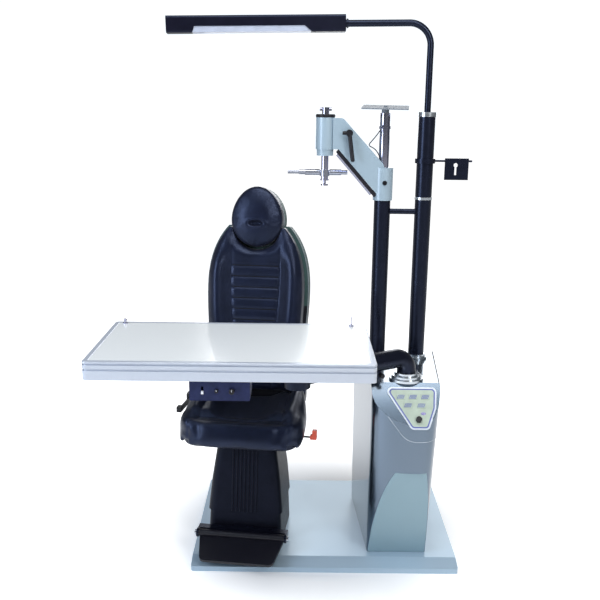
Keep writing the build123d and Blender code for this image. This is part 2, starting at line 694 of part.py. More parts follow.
def headrest_posts():
    post = Rot(90, 0, 0) * Cylinder(HEAD_POST_R, 150)
    return group(*[back_plane(POST_DEPTH) * Pos(x, 605, 0) * post for x in (-HEAD_POST_X, HEAD_POST_X)])


def headrest_shell():
    shell = extrude(back_plane(58) * head_outline(1.5), -92)
    far = shell.faces().sort_by(Axis.Y)[-1]
    shell = fillet(far.edges(), 18)
    return shell - headrest_posts()


def headrest_cushion():
    pad = extrude(back_plane(57.5) * head_outline(), 70)
    near = pad.faces().sort_by(Axis.Y)[0]
    return fillet(near.edges(), 20)


def footrest():
    """Tread plate with its hinge barrel and pins."""
    y, z = FOOT_HINGE
    hinge = bar((-167, y, z), (167, y, z), 14)
    hinge += bar((-184, y, z), (184, y, z), 7)
    for side in (-1, 1):
        hinge += bar((side * 176.5, y, z), (side * 184, y, z), 10)
    tilt = Plane(origin=(0, y, z), x_dir=(1, 0, 0), z_dir=(0, -0.28, 0.96))
    tread = Polygon((-166, 0), (166, 0), (139, -128), (-139, -128), align=None)
    tread = fillet(tread.vertices().group_by(Axis.Y)[0], 22)
    return hinge + extrude(tilt * Pos(0, 0, -6) * tread, 12)


# ---------------------------------------------------------------- phoropter arm
def arm_casting():
    """Hub, slanted arm and end barrel in one casting."""
    hub = drum(POST, (POST_TOP_Z + GAP, 1488), 38)
    outline = FilletPolyline(
        (14, 1556), (14, 1673), (52, 1673), (210, 1503), (234, 1440), (228, 1383),
        (192, 1383), (37, 1556), radius=[2, 24, 40, 30, 12, 2])
    outline += Line((37, 1556), (14, 1556))
    arm = Pos(0, ARM_BACK, 0) * extrude(Plane.XZ * make_face(outline), ARM_BACK - ARM_FRONT)
    barrel = drum(SHAFT, (1555, 1675), 36)
    body = hub + arm + barrel
    body += drum(SHAFT, (1531, 1555), 32)
    body -= drum(POST, (1300, 1700), POST_R + FIT)
    return body - drum(SHAFT, (1500, 1700), SHAFT_R + FIT)


def arm_trim():
    """Black under-edge of the arm with a polished strip below it."""
    along = (EDGE_END - EDGE_START).normalized()
    down = Vector(along.Z, 0, -along.X)

    def strip(start, end, high, low):
        corners = [EDGE_START + along * s + down * t
                   for s, t in ((start, high), (end, high), (end, low), (start, low))]
        return Pos(0, 106, 0) * extrude(Plane.XZ * make_face(
            Polyline(*[(c.X, c.Z) for c in corners], close=True)), 36)

    return strip(2, 230, 0, 15) + strip(10, 214, 15, 23) - arm_casting()


def clamp_lever():
    """Adjustable clamp handle on the arm's side face."""
    x, z = CLAMP
    y = ARM_FRONT - GAP
    hub = bar((x, y, z), (x, y - 26, z), 13)
    grip = bar((x, y - 18, z), (x + 14, y - 24, z - 100), 8) + Pos(x + 14, y - 24, z - 100) * Sphere(8)
    return hub + grip + bar((x - 26, y - 18, z), (x, y - 18, z), 7)


def phoropter_shaft():
    shaft = drum(SHAFT, (1443, 1712), SHAFT_R)
    shaft += drum(SHAFT, (1436, 1443), SHAFT_R + 2.5)
    shaft += drum(SHAFT, (1424, 1436), 6) + drum(SHAFT, (1416, 1424), 14)
    x, y = SHAFT
    return shaft + bar((x - 23, y, 1705), (x + 23, y, 1705), 6)


def mounting_rod():
    """Split clamp on the shaft and the stepped instrument rod behind it."""
    x, y = SHAFT
    clamp = drum(SHAFT, (ROD_Z - 12, ROD_Z + 12), SHAFT_R + 5, SHAFT_R + FIT)
    yr = y + SHAFT_R + 13
    rod = bar((x - 144, yr, ROD_Z), (x - 100, yr, ROD_Z), 7)
    rod += bar((x - 100, yr, ROD_Z), (x - 76, yr, ROD_Z), 9.5)
    rod += bar((x - 76, yr, ROD_Z), (x + 66, yr, ROD_Z), 12)
    rod += bar((x + 66, yr, ROD_Z), (x + 90, yr, ROD_Z), 9)
    rod += clamp
    return rod - drum(SHAFT, (ROD_Z - 20, ROD_Z + 20), SHAFT_R + FIT)


def route_radii(points):
    """Largest arc for each corner: 0.45 of its shorter run over the tangent of half the turn."""
    vectors = [Vector(*p) for p in points]
    radii = []
    for before, here, after in zip(vectors, vectors[1:], vectors[2:]):
        turn = math.radians((here - before).get_angle(after - here))
        shorter = min((here - before).length, (after - here).length)
        radii.append(0.45 * shorter / math.tan(turn / 2))
    return radii


def arm_cable():
    radii = route_radii(CABLE_ROUTE)
    path = FilletPolyline(*CABLE_ROUTE, radius=radii)
    tube = sweep(Plane(origin=path @ 0, z_dir=path % 0) * Circle(CABLE_R), path)
    print("cable length", round(path.length, 1), "volume ratio",
          round(tube.volume / (math.pi * CABLE_R ** 2 * path.length), 4))
    print("cable radii", [round(r, 1) for r in radii])
    return tube


def cable_ring():
    """Ring on the chrome post that carries the cable's upper gland."""
    ring = drum(POST, (1634, 1644), POST_R + 3, POST_R + FIT)
    boss = bar((205, 79, 1646), (200, 72, 1638), 3.4)
    return (ring + boss) - drum(POST, (1600, 1660), POST_R + FIT)


def projector_tray():
    """Tray plate with a mounting boss and centre screw."""
    x, y = POST
    boss = drum(POST, (LAMP_TOP_Z + GAP, 1714), 14)
    tilt = Location((x, y, 1714), (5, 0, -8))
    plate = tilt * (fillet(Box(176, 150, 4).edges().filter_by(Axis.Z), 6))
    return boss + plate + tilt * Pos(0, 0, 4) * Cylinder(7, 5)


def transformer():
    """Mains transformer on the base plate inside the console."""
    core = block((238, 352), (-70, 30), (BASE_T, BASE_T + 84))
    coil = block((256, 334), (-84, 44), (BASE_T + 14, BASE_T + 70))
    return core + coil


# ---------------------------------------------------------------- write every node
def write_parts():
    save("base_plate", base_plate())
    console()
    save("toe_cover", toe_cover())
    save("rear_panel", rear_panel())
    save("power_inlet", power_inlet())
    save("keypad_panel", keypad_panel())
    for number, (u, v) in enumerate(KEYS, start=1):
        save(f"key_{number}", keypad_key(u, v))
    save("dimmer_knob", dimmer_knob())
    save("column_rings", column_rings())
    save("instrument_column", instrument_column())
    save("lamp_column", lamp_column())
    save("link_bar", link_bar())
    save("projector_post", projector_post())
    save("lamp_pole", lamp_pole())
    save("lamp_head", lamp_head())
    save("lamp_diffuser", lamp_diffuser())
    save("chart_holder", chart_holder())
    save("transformer", transformer())
    save("arm_boss", arm_boss())
    save("table_arm_tube", table_arm())
    save("pivot_housing", pivot_housing())
    save("brake_knob", brake_knob())
    save("table_edge", table_edge())
    save("table_panel", table_panel())
    save("table_pivot_plate", table_pivot_plate())
    save("table_stud", table_stud())
    save("table_lock_pin", table_lock_pin())
    save("control_box", control_box())
    save("power_slider", power_slider())
    save("small_knob", front_knob(CONTROLS["small"], 6, 9))
    save("large_knob", front_knob(CONTROLS["large"], 9, 13))
    save("arm_casting", arm_casting())
    save("arm_trim", arm_trim())
    save("clamp_lever", clamp_lever())
    save("phoropter_shaft", phoropter_shaft())
    save("mounting_rod", mounting_rod())
    save("arm_cable", arm_cable())
    save("cable_ring", cable_ring())
    save("projector_tray", projector_tray())
    chair = {
        "chair_plinth": chair_plinth(), "lower_skirt": lower_skirt(), "upper_skirt": upper_skirt(),
        "lift_column": lift_column(), "lift_motor": lift_motor(), "seat_frame": seat_frame(),
        "seat_cushion": seat_cushion(), "seat_bolsters": seat_bolsters(), "swivel_lever": swivel_lever(),
        "recline_lever": recline_lever(), "back_cushion": back_cushion(), "back_shell": back_shell(),
        "headrest_posts": headrest_posts(), "headrest_shell": headrest_shell(),
        "headrest_cushion": headrest_cushion(), "footrest": footrest()}
    for name, shape in chair.items():
        save(name, CHAIR * shape)


write_parts()
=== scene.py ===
import math

import bmesh
import bpy
from mathutils import Matrix, Vector
from mathutils.bvhtree import BVHTree


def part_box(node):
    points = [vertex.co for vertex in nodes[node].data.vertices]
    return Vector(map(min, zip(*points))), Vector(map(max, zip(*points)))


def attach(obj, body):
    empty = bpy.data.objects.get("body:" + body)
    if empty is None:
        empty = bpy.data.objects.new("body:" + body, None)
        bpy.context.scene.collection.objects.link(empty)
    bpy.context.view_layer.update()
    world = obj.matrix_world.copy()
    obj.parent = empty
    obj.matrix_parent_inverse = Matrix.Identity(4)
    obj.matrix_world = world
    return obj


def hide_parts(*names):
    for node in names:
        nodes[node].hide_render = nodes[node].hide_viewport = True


# Looks of an ophthalmic refraction unit: leather cushions, finishes, printed keypad, cable, studio.
# Metres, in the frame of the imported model.

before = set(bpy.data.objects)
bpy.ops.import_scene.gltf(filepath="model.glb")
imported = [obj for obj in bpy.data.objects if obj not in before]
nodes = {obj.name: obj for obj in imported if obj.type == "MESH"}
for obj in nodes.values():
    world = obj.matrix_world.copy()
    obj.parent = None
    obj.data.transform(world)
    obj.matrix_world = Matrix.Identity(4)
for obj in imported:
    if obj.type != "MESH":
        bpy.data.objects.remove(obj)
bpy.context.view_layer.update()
scene = bpy.context.scene

# ---------------------------------------------------------------- places shared with the CAD model
CHAIR = Matrix.Translation((-0.289, 0, 0)) @ Matrix.Rotation(math.radians(-7), 4, "Z")
LEAN = math.radians(8)                       # of the backrest
BACK = CHAIR @ Matrix((
    (1, 0, 0, 0),
    (0, math.sin(LEAN), -math.cos(LEAN), -0.007),
    (0, math.cos(LEAN), math.sin(LEAN), 0.560),
    (0, 0, 0, 1)))                           # x across, y up the backrest, z toward the sitter
HEAD_H = 0.722                               # centre of the headrest's lower arc, up the backrest
PANEL_TILT = Vector((0, -114, 97)).normalized()
PANEL_UP = Vector((0, 97, 114)).normalized()
KEYPAD = Matrix.Translation((0.318, -0.228, 0.700)) @ Matrix((
    (1, PANEL_UP.x, PANEL_TILT.x, 0),
    (0, PANEL_UP.y, PANEL_TILT.y, 0),
    (0, PANEL_UP.z, PANEL_TILT.z, 0),
    (0, 0, 0, 1)))                           # x to the right, y up the slope, z out of the panel
SHAFT = Vector((-0.014, 0.096))              # axis of the phoropter shaft


# ---------------------------------------------------------------- camera
EYE = (-0.104, -2.944, 1.700)
PITCH, ROLL = math.radians(13.78), math.radians(0.65)
SENSOR, LENS = 36, 46.44


def make_camera():
    data = bpy.data.cameras.new("camera")
    data.sensor_width, data.lens = SENSOR, LENS
    camera = bpy.data.objects.new("camera", data)
    scene.collection.objects.link(camera)
    turn = Matrix.Rotation(math.pi / 2 - PITCH, 4, "X") @ Matrix.Rotation(ROLL, 4, "Z")
    camera.matrix_world = Matrix.Translation(EYE) @ turn
    scene.camera = camera


# ---------------------------------------------------------------- shader helpers
def add(mat, kind, **values):
    """A node with its properties and input values set by name."""
    node = mat.node_tree.nodes.new("ShaderNode" + kind)
    for key, value in values.items():
        if hasattr(node, key):
            setattr(node, key, value)
        else:
            node.inputs[key.replace("_", " ")].default_value = value
    return node


def link(mat, source, target):
    mat.node_tree.links.new(source, target)


def paint(name, colour, roughness, **sockets):
    """A material whose Principled shader has these constant values."""
    mat = bpy.data.materials.new(name)
    mat.use_nodes = True
    shader = mat.node_tree.nodes["Principled BSDF"]
    shader.inputs["Base Color"].default_value = (*colour, 1)
    shader.inputs["Roughness"].default_value = roughness
    for key, value in sockets.items():
        shader.inputs[key.replace("_", " ")].default_value = value
    return mat, shader


def place(mat, stretch=(1, 1, 1)):
    """Object coordinates, stretched."""
    source = add(mat, "TexCoord")
    mapping = add(mat, "Mapping", Scale=stretch)
    link(mat, source.outputs["Object"], mapping.inputs["Vector"])
    return mapping.outputs["Vector"]


def clouds(mat, scale, detail, stretch=(1, 1, 1)):
    """Soft noise."""
    tex = add(mat, "TexNoise", Scale=scale, Detail=detail, Roughness=0.6)
    link(mat, place(mat, stretch), tex.inputs["Vector"])
    return tex.outputs["Fac"]


def pebbles(mat, scale):
    """Rounded cells, for a leather grain."""
    tex = add(mat, "TexVoronoi", feature="SMOOTH_F1", Scale=scale, Smoothness=0.6)
    link(mat, place(mat), tex.inputs["Vector"])
    return tex.outputs["Distance"]


def tint(mat, shader, fac, dark, light):
    """Base colour that wanders between two tones."""
    ramp = add(mat, "ValToRGB")
    for element, position, tone in zip(ramp.color_ramp.elements, (0.3, 0.7), (dark, light)):
        element.position, element.color = position, (*tone, 1)
    link(mat, fac, ramp.inputs["Fac"])
    link(mat, ramp.outputs["Color"], shader.inputs["Base Color"])


def gloss(mat, shader, fac, low, high):
    """Roughness that wanders between two values."""
    span = add(mat, "MapRange", To_Min=low, To_Max=high)
    link(mat, fac, span.inputs["Value"])
    link(mat, span.outputs["Result"], shader.inputs["Roughness"])


def relief(mat, shader, height, depth, strength=1.0, under=None):
    """Bump of that depth in metres, on top of another bump if one is given."""
    bump = add(mat, "Bump", Strength=strength, Distance=depth)
    link(mat, height, bump.inputs["Height"])
    if under is not None:
        link(mat, under, bump.inputs["Normal"])
    link(mat, bump.outputs["Normal"], shader.inputs["Normal"])
    return bump.outputs["Normal"]


def shade(colour, factor):
    return tuple(min(1.0, c * factor) for c in colour)


# ---------------------------------------------------------------- materials
BLUE_GLOSS = (0.50, 0.62, 1.0, 1)            # cool tint of the highlights on the black parts


def metallic_paint(name, colour, roughness, metallic=0.35, coat=0.4):
    """Sprayed silver: fine flakes, faint orange peel and a clear coat."""
    mat, shader = paint(name, colour, roughness, Metallic=metallic, Coat_Weight=coat, Coat_Roughness=0.08)
    flakes = clouds(mat, 2600, 2)
    tint(mat, shader, flakes, shade(colour, 0.90), shade(colour, 1.07))
    gloss(mat, shader, clouds(mat, 7, 5), roughness * 0.85, roughness * 1.2)
    relief(mat, shader, clouds(mat, 420, 2), 0.00006, 0.5)
    return mat


def powder_coat(name, colour, roughness, grain=900):
    """Fine-textured black coating with a cool gloss."""
    mat, shader = paint(name, colour, roughness, Specular_Tint=BLUE_GLOSS, Specular_IOR_Level=0.42)
    tint(mat, shader, clouds(mat, 35, 5), shade(colour, 0.8), shade(colour, 1.35))
    gloss(mat, shader, clouds(mat, 18, 6), roughness * 0.8, roughness * 1.25)
    relief(mat, shader, clouds(mat, grain, 3), 0.0001, 0.6)
    return mat


def leather(name, colour, roughness, grain=520, shine=0.46):
    """Soft-grained leatherette: pebbles, pores and slow changes of tone."""
    mat, shader = paint(name, colour, roughness, Specular_Tint=BLUE_GLOSS, Specular_IOR_Level=shine,
                        Sheen_Weight=0.05, Sheen_Roughness=0.5)
    tint(mat, shader, clouds(mat, 14, 5), shade(colour, 0.7), shade(colour, 1.5))
    gloss(mat, shader, clouds(mat, 60, 5), roughness * 0.85, roughness * 1.2)
    folds = relief(mat, shader, clouds(mat, 45, 3), 0.0012, 0.25)
    coarse = relief(mat, shader, pebbles(mat, grain), 0.0005, 0.6, folds)
    relief(mat, shader, clouds(mat, 2300, 2), 0.0001, 0.5, coarse)
    return mat


def bright_metal(name, colour, roughness, stretch=(1, 1, 1), scratch=500):
    """Polished or turned metal with fine lines along the machining."""
    mat, shader = paint(name, colour, roughness, Metallic=1.0)
    lines = clouds(mat, scratch, 3, stretch)
    tint(mat, shader, lines, shade(colour, 0.88), shade(colour, 1.08))
    gloss(mat, shader, lines, roughness * 0.7, roughness * 1.5)
    relief(mat, shader, lines, 0.00003, 0.4)
    return mat


def moulded(name, colour, roughness, grain=1400, coat=0.0, depth=0.00008):
    """Injection-moulded plastic with a fine spark-eroded grain."""
    mat, shader = paint(name, colour, roughness, Coat_Weight=coat, Coat_Roughness=0.1,
                        Specular_IOR_Level=0.4)
    tint(mat, shader, clouds(mat, 22, 4), shade(colour, 0.9), shade(colour, 1.1))
    gloss(mat, shader, clouds(mat, 90, 4), roughness * 0.85, roughness * 1.2)
    relief(mat, shader, clouds(mat, grain, 2), depth, 0.6)
    return mat


def beyond(mat, direction, offset, about=None):
    """1 where a point's distance along a direction is more than offset, else 0.

    With about given, the distance counts both ways from there.
    """
    source = add(mat, "TexCoord")
    dot = add(mat, "VectorMath", operation="DOT_PRODUCT")
    dot.inputs[1].default_value = direction
    link(mat, source.outputs["Object"], dot.inputs[0])
    value = dot.outputs["Value"]
    if about is not None:
        centre = add(mat, "Math", operation="SUBTRACT")
        centre.inputs[1].default_value = about
        link(mat, value, centre.inputs[0])
        size = add(mat, "Math", operation="ABSOLUTE")
        link(mat, centre.outputs["Value"], size.inputs[0])
        value = size.outputs["Value"]
    test = add(mat, "Math", operation="GREATER_THAN")
    test.inputs[1].default_value = offset
    link(mat, value, test.inputs[0])
    return test.outputs["Value"]


def two_finish(name, first, second, mask_of):
    """One material that turns from a first to a second finish where the mask is 1.

    A finish is (colour, roughness, metallic).
    """
    mat, shader = paint(name, first[0], first[1])
    mask = mask_of(mat)
    grain = clouds(mat, 700, 3)
    mix = add(mat, "Mix", data_type="RGBA")
    for socket, finish in ((6, first), (7, second)):
        ramp = add(mat, "ValToRGB")
        ramp.color_ramp.elements[0].color = (*shade(finish[0], 0.85), 1)
        ramp.color_ramp.elements[1].color = (*shade(finish[0], 1.12), 1)
        link(mat, grain, ramp.inputs["Fac"])
        link(mat, ramp.outputs["Color"], mix.inputs[socket])
    link(mat, mask, mix.inputs["Factor"])
    link(mat, mix.outputs[2], shader.inputs["Base Color"])
    for index, socket in ((1, "Roughness"), (2, "Metallic")):
        span = add(mat, "MapRange", To_Min=first[index], To_Max=second[index])
        link(mat, mask, span.inputs["Value"])
        link(mat, span.outputs["Result"], shader.inputs[socket])
    relief(mat, shader, grain, 0.00005, 0.4)
    return mat


SHELL_SPLIT = 0.385                          # up the backrest, where its shell turns green
LEVER_TIP = 0.2495                           # across the chair, where the lever's red grip begins
HINGE_TIP = 0.1672                           # across the chair, where the footrest's bright pins begin
TRIM_LINE = (Vector((0.037, 0, 1.557)), Vector((0.192, 0, 1.382)))    # lower edge of the phoropter arm
TRIM_BLACK = 0.0151                          # width of the black part of the arm's trim
SHELL_GREEN = (0.048, 0.098, 0.095)


def make_materials():
    """Every finish by name."""
    chair_x = CHAIR.to_3x3() @ Vector((1, 0, 0))
    chair_mid = chair_x.dot(CHAIR.translation)
    along = (TRIM_LINE[1] - TRIM_LINE[0]).normalized()
    below = Vector((along.z, 0, -along.x))
    back_up = BACK.to_3x3() @ Vector((0, 1, 0))
    shell_split = back_up.dot(BACK @ Vector((0, SHELL_SPLIT, 0)))
    black = ((0.008, 0.008, 0.014), 0.38, 0.0)
    return {
        "plate": metallic_paint("plate_paint", (0.44, 0.58, 0.70), 0.38, 0.25, 0.25),
        "console": metallic_paint("console_paint", (0.15, 0.20, 0.26), 0.20, 0.92, 0.8),
        "toe": metallic_paint("toe_paint", (0.29, 0.42, 0.48), 0.42, 0.2, 0.1),
        "satin_black": powder_coat("satin_black", (0.0045, 0.005, 0.010), 0.28),
        "lamp_black": powder_coat("lamp_black", (0.003, 0.002, 0.006), 0.36),
        "chrome": bright_metal("chrome", (0.50, 0.50, 0.62), 0.12, (1, 1, 0.02)),
        "rod": bright_metal("turned_chrome", (0.48, 0.50, 0.58), 0.18, (0.02, 1, 1)),
        "ring": bright_metal("turned_ring", (0.72, 0.77, 0.82), 0.22, (0.05, 0.05, 1), 900),
        "steel": bright_metal("machined_steel", (0.50, 0.51, 0.54), 0.35),
        "core": bright_metal("laminated_core", (0.30, 0.25, 0.22), 0.5, (1, 0.01, 1), 700),
        "leather": leather("black_leatherette", (0.005, 0.007, 0.018), 0.30),
        "skirt": leather("skirt_leatherette", (0.003, 0.003, 0.006), 0.40, 380, 0.22),
        "back_shell": two_finish("back_shell", black, (SHELL_GREEN, 0.50, 0.0),
                                 lambda m: beyond(m, back_up, shell_split)),
        "shell": moulded("shell_grey_green", SHELL_GREEN, 0.50),
        "piping": moulded("piping_grey", (0.26, 0.31, 0.33), 0.45),
        "laminate": metallic_paint("table_laminate", (0.90, 0.93, 0.94), 0.25, 0.0, 0.3),
        "rim": metallic_paint("anodised_rim", (0.64, 0.69, 0.78), 0.34, 0.35, 0.2),
        "arm": metallic_paint("arm_enamel", (0.36, 0.47, 0.55), 0.36, 0.10, 0.4),
        "tray": metallic_paint("tray_enamel", (0.20, 0.23, 0.27), 0.5, 0.1, 0.0),
        "black_plastic": moulded("black_plastic", (0.006, 0.006, 0.010), 0.42),
        "control": powder_coat("control_enamel", (0.016, 0.019, 0.060), 0.42),
        "diffuser": moulded("opal_diffuser", (0.42, 0.46, 0.56), 0.45, 300, 0.1, 0.0003),
        "bezel": metallic_paint("keypad_bezel", (0.62, 0.68, 0.76), 0.28, 0.3, 0.6),
        "membrane": moulded("membrane", (0.50, 0.60, 0.50), 0.34, 2500, 0.2, 0.00003),
        "print": moulded("print_violet", (0.10, 0.13, 0.42), 0.40, 2500),
        "mark": moulded("print_white", (0.80, 0.82, 0.86), 0.45, 2500),
        "lens": moulded("status_lens", (0.32, 0.30, 0.62), 0.12, 900, 1.0, 0.00002),
        "cable": moulded("cable_pvc", (0.012, 0.012, 0.018), 0.38, 1800),
        "thread": moulded("thread", (0.035, 0.038, 0.07), 0.6, 4000),
        # near-black, rough strips for the channel bottoms: partly seam, mostly painted shade of the
        # channels
        "seam": moulded("seam_and_painted_shade", (0.0015, 0.0015, 0.003), 0.85, 3000),
        "lever": two_finish("lever", black, ((0.78, 0.10, 0.05), 0.40, 0.0),
                            lambda m: beyond(m, chair_x, chair_mid + LEVER_TIP)),
        "footrest": two_finish("footrest", black, ((0.70, 0.72, 0.78), 0.18, 1.0),
                               lambda m: beyond(m, chair_x, HINGE_TIP, about=chair_mid)),
        "trim": two_finish("arm_trim", black, ((0.70, 0.72, 0.92), 0.25, 0.8),
                           lambda m: beyond(m, below, TRIM_LINE[0].dot(below) + TRIM_BLACK)),
    }


FINISH_OF = {
    "plate": ["base_plate"],
    "console": ["console_body", "console_cover", "rear_panel"],
    "toe": ["toe_cover"],
    "bezel": ["keypad_panel"],
    "membrane": ["key_1", "key_2", "key_3", "key_4", "key_5"],
    "black_plastic": ["power_inlet", "dimmer_knob", "brake_knob", "small_knob", "large_knob",
                      "recline_lever", "clamp_lever"],
    "mark": ["power_slider"],
    "ring": ["column_rings", "arm_boss"],
    "satin_black": ["instrument_column", "lamp_column", "link_bar", "lamp_pole", "table_arm_tube",
                    "pivot_housing", "chair_plinth", "seat_frame", "chart_holder"],
    "lamp_black": ["lamp_head"],
    "diffuser": ["lamp_diffuser"],
    "chrome": ["projector_post", "table_stud", "table_lock_pin", "headrest_posts", "phoropter_shaft",
               "cable_ring"],
    "rod": ["mounting_rod"],
    "steel": ["table_pivot_plate", "lift_column", "lift_motor"],
    "core": ["transformer"],
    "laminate": ["table_panel"],
    "rim": ["table_edge"],
    "control": ["control_box"],
    "skirt": ["lower_skirt", "upper_skirt"],
    "shell": ["headrest_shell"],
    "back_shell": ["back_shell"],
    "arm": ["arm_casting"],
    "tray": ["projector_tray"],
    "trim": ["arm_trim"],
    "lever": ["swivel_lever"],
    "footrest": ["footrest"],
    "leather": ["seat_cushion", "seat_bolsters", "back_cushion", "headrest_cushion"],
    "cable": ["arm_cable"],
}


def finish_nodes():
    """Gives every CAD node its finish."""
    for finish, names in FINISH_OF.items():
        for name in names:
            mesh = nodes[name].data
            mesh.materials.clear()
            mesh.materials.append(FINISH[finish])


# ---------------------------------------------------------------- mesh helpers
def piece(name, mesh, finish, matrix=None):
    """A new object of the assembly with its material."""
    obj = bpy.data.objects.new(name, mesh)
    scene.collection.objects.link(obj)
    if matrix is not None:
        obj.matrix_world = matrix
    mesh.materials.append(FINISH[finish])
    return obj


def mesh_from(name, bm, smooth=True):
    """A mesh from a bmesh, which is freed."""
    mesh = bpy.data.meshes.new(name)
    bm.to_mesh(mesh)
    bm.free()
    if smooth:
        mesh.polygons.foreach_set("use_smooth", [True] * len(mesh.polygons))
    return mesh


def select_only(obj):
    bpy.ops.object.select_all(action="DESELECT")
    obj.select_set(True)
    bpy.context.view_layer.objects.active = obj


def apply_modifier(obj, modifier):
    select_only(obj)
    bpy.ops.object.modifier_apply(modifier=modifier.name)


def lathe(name, profile, finish, matrix, segments=48):
    """A turned piece: profile of (radius, height) points about the matrix's Z axis."""
    bm = bmesh.new()
    rings = []
    for radius, height in profile:
        if radius == 0:
            rings.append([bm.verts.new((0, 0, height))])
            continue
        turns = [2 * math.pi * k / segments for k in range(segments)]
        rings.append([bm.verts.new((radius * math.cos(a), radius * math.sin(a), height)) for a in turns])
    for low, high in zip(rings, rings[1:]):
        for k in range(segments):
            n = (k + 1) % segments
            corners = [low[k % len(low)], low[n % len(low)], high[n % len(high)], high[k % len(high)]]
            unique = list(dict.fromkeys(corners))
            bm.faces.new(unique)
    bmesh.ops.recalc_face_normals(bm, faces=bm.faces)
    obj = piece(name, mesh_from(name, bm), finish, matrix)
    edge = obj.modifiers.new("edges", "EDGE_SPLIT")
    edge.split_angle = math.radians(35)
    return obj


def rounded_polygon(corners, radius, steps=8):
    """Points of a polygon whose corners are arcs."""
    points = []
    count = len(corners)
    for k, corner in enumerate(corners):
        here = Vector(corner)
        to_last = (Vector(corners[k - 1]) - here).normalized()
        to_next = (Vector(corners[(k + 1) % count]) - here).normalized()
        half = to_last.angle(to_next) / 2
        centre = here + (to_last + to_next).normalized() * (radius / math.sin(half))
        start = here + to_last * (radius / math.tan(half)) - centre
        end = here + to_next * (radius / math.tan(half)) - centre
        turn = start.angle_signed(end)
        for step in range(steps + 1):
            points.append(centre + Matrix.Rotation(-turn * step / steps, 2) @ start)
    return points


def sheet_with_holes(name, outline, holes, low, high, finish, slot, matrix):
    """A flat plate from low to high with openings in it."""
    bm = bmesh.new()
    for loop in [outline, *holes]:
        verts = [bm.verts.new((p[0], p[1], low)) for p in loop]
        for a, b in zip(verts, verts[1:] + verts[:1]):
            bm.edges.new((a, b))
    bmesh.ops.triangle_fill(bm, use_beauty=True, use_dissolve=False, edges=bm.edges[:])
    extruded(bm, high - low)
    return piece(name, mesh_from(name, bm, smooth=False), finish, matrix)


def tube(name, points, radius, finish, matrix=None, closed=False):
    """A round bead that follows points."""
    data = bpy.data.curves.new(name, "CURVE")
    data.dimensions = "3D"
    data.bevel_depth, data.bevel_resolution = radius, 4
    line = data.splines.new("POLY")
    line.points.add(len(points) - 1)
    for point, at in zip(line.points, points):
        point.co = (*at, 1)
    line.use_cyclic_u = closed
    data.use_fill_caps = True
    return piece(name, data, finish, matrix)


SHARP = 0.5                                  # radians between the faces of an edge that counts as sharp
SAME_PLACE = 2e-5


def extruded(bm, height):
    """Gives a flat bmesh a thickness along Z, its normals outward."""
    bmesh.ops.recalc_face_normals(bm, faces=bm.faces[:])
    out = bmesh.ops.extrude_face_region(bm, geom=bm.faces[:])
    moved = [g for g in out["geom"] if isinstance(g, bmesh.types.BMVert)]
    bmesh.ops.translate(bm, verts=moved, vec=(0, 0, height))
    bmesh.ops.recalc_face_normals(bm, faces=bm.faces[:])


def rim_loops(node, on_rim):
    """Chains of points along a CAD node's sharp edges that pass a test on their two ends."""
    bm = bmesh.new()
    bm.from_mesh(nodes[node].data)
    bmesh.ops.remove_doubles(bm, verts=bm.verts[:], dist=SAME_PLACE)
    bm.edges.index_update()
    edges = {e.index: e for e in bm.edges
             if len(e.link_faces) == 2 and e.calc_face_angle(0) > SHARP and on_rim(e)}
    chains = []
    while edges:
        edge = edges.pop(min(edges))
        chain = [edge.verts[0], edge.verts[1]]
        for end in (1, 0):
            while True:
                tip = chain[-1] if end else chain[0]
                following = next((e for e in tip.link_edges if e.index in edges), None)
                if following is None:
                    break
                del edges[following.index]
                other = following.other_vert(tip)
                if end:
                    chain.append(other)
                else:
                    chain.insert(0, other)
        chains.append([v.co.copy() for v in chain])
    bm.free()
    return chains


# ---------------------------------------------------------------- the cable on the phoropter arm
CABLE_ROUTE = [
    (0.200, 0.072, 1.638), (0.187, 0.071, 1.618), (0.173, 0.071, 1.600), (0.161, 0.071, 1.586),
    (0.1535, 0.072, 1.577), (0.1545, 0.073, 1.571), (0.160, 0.074, 1.5672), (0.171, 0.075, 1.5625),
    (0.184, 0.076, 1.551), (0.193, 0.077, 1.536), (0.199, 0.078, 1.519), (0.201, 0.078, 1.508)]
CABLE_LENGTH, CABLE_D = 0.165, 0.004


def arm_cable():
    """The thin cable from the post into the arm."""
    data = bpy.data.curves.new("cable", "CURVE")
    data.dimensions = "3D"
    data.bevel_depth, data.bevel_resolution = CABLE_D / 2, 5
    data.resolution_u = 16
    data.use_fill_caps = True
    line = data.splines.new("NURBS")
    line.points.add(len(CABLE_ROUTE) - 1)
    for point, at in zip(line.points, CABLE_ROUTE):
        point.co = (*at, 1)
    line.order_u = 3
    line.use_endpoint_u = True
    obj = piece("cable", data, "cable")
    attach(obj, "phoropter_arm")
    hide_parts("arm_cable")


# ---------------------------------------------------------------- cushions
CLOTH_STEPS = 20


def pad_of(name, wanted, matrix, change=None):
    """CAD cushions as one mesh in its own frame, its vertices first moved by change if given.

    wanted gives each node and how much it is widened, so that neighbours overlap and fuse.
    """
    bm = bmesh.new()
    for node, widened in wanted.items():
        mesh = nodes[node].data.copy()
        mesh.transform(Matrix.Diagonal((widened, 1, 1, 1)) @ matrix.inverted())
        bm.from_mesh(mesh)
        bpy.data.meshes.remove(mesh)
    bmesh.ops.remove_doubles(bm, verts=bm.verts[:], dist=SAME_PLACE)
    if change is not None:
        for vertex in bm.verts:
            vertex.co = change(vertex.co.copy())
    bm.normal_update()
    obj = piece(name, mesh_from(name, bm), "leather", matrix)
    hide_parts(*wanted)
    return obj


